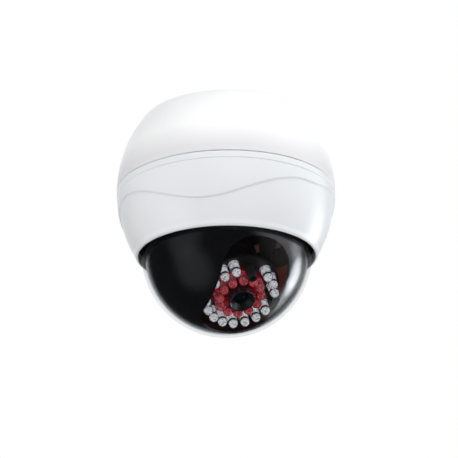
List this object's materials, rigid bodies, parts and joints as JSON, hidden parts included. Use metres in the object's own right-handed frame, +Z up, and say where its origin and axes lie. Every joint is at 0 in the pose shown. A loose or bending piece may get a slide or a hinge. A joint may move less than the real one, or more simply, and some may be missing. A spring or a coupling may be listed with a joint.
{
  "type": "dome security camera",
  "caption": "Ceiling dome camera: white bowl base and twist-off cover, clear bubble, slotted black liner and a pan, tilt and roll camera can with two rings of lamps.",
  "frame": {"origin": "centre of the flat face that goes against the ceiling", "axes": "+Z points up into the ceiling, and the liner's slot and the lens face -Y at rest"},
  "size_m": [0.11, 0.11, 0.1122],
  "materials": {
    "white_plastic": "satin-gloss white moulded plastic",
    "clear_plastic": "clear polished polycarbonate",
    "black_gloss": "glossy black moulded plastic",
    "black_matte": "matt black moulded plastic",
    "rubber": "soft black rubber",
    "zinc_steel": "zinc-plated steel",
    "green_board": "green solder mask",
    "black_board": "black solder mask",
    "nylon": "natural nylon",
    "brass": "turned brass",
    "lamp_epoxy": "clear epoxy",
    "lamp_red": "clear epoxy lit red",
    "lens_glass": "coated optical glass",
    "sensor_die": "silicon under a glass lid"
  },
  "bodies": {
    "base": {"mounting_plate": "zinc_steel", "base_housing": "white_plastic", "cable_grommet": "rubber", "main_board": "green_board", "power_connector": "nylon", "board_screw_1": "zinc_steel", "board_screw_2": "zinc_steel", "board_screw_3": "zinc_steel", "base_seal": "rubber", "pan_frame": "black_matte", "frame_screw_1": "zinc_steel", "frame_screw_2": "zinc_steel", "frame_screw_3": "zinc_steel"},
    "cover": {"trim_cover": "white_plastic", "dome_seal": "rubber", "clear_dome": "clear_plastic", "dome_clamp_ring": "black_matte", "clamp_screw_1": "zinc_steel", "clamp_screw_2": "zinc_steel", "clamp_screw_3": "zinc_steel"},
    "pan": {"turntable": "black_matte", "pan_friction_washer": "nylon", "pan_retaining_ring": "zinc_steel", "yoke_left": "black_matte", "yoke_right": "black_matte", "yoke_screw_left": "zinc_steel", "yoke_screw_right": "zinc_steel", "shroud": "black_gloss"},
    "tilt": {"cradle": "black_matte", "tilt_screw_left": "zinc_steel", "tilt_screw_right": "zinc_steel"},
    "camera": {"camera_can": "black_matte", "can_retaining_ring": "zinc_steel", "sensor_board": "green_board", "image_sensor": "sensor_die", "ir_filter": "lens_glass", "lens_holder": "black_matte", "lens_barrel": "black_gloss", "lens_lock_ring": "brass", "front_glass": "lens_glass", "lamp_board": "black_board", "lamp_board_screw_left": "zinc_steel", "lamp_board_screw_right": "zinc_steel", "outer_lamp_01": "lamp_epoxy", "outer_lamp_02": "lamp_epoxy", "outer_lamp_03": "lamp_epoxy", "outer_lamp_04": "lamp_epoxy", "outer_lamp_05": "lamp_epoxy", "outer_lamp_06": "lamp_epoxy", "outer_lamp_07": "lamp_epoxy", "outer_lamp_08": "lamp_epoxy", "outer_lamp_09": "lamp_epoxy", "outer_lamp_10": "lamp_epoxy", "outer_lamp_11": "lamp_epoxy", "outer_lamp_12": "lamp_epoxy", "outer_lamp_13": "lamp_epoxy", "outer_lamp_14": "lamp_epoxy", "inner_lamp_ring": "lamp_red", "light_sensor": "black_matte"}
  },
  "joints": [
    {"name": "cover_twist", "type": "hinge", "parent": "base", "child": "cover", "pos_m": [0, 0, -0.038], "axis": [0, 0, 1], "range_deg": [0, 30]},
    {"name": "pan", "type": "hinge", "parent": "base", "child": "pan", "pos_m": [0, 0, -0.0697], "axis": [0, 0, 1], "range_deg": [-175, 175]},
    {"name": "tilt", "type": "hinge", "parent": "pan", "child": "tilt", "pos_m": [0, 0, -0.0727], "axis": [-1, 0, 0], "range_deg": [-30, 40]},
    {"name": "lens_roll", "type": "hinge", "parent": "tilt", "child": "camera", "pos_m": [0, 0, -0.0727], "axis": [0, -0.5075, -0.8616], "range_deg": [-90, 90]}
  ]
}
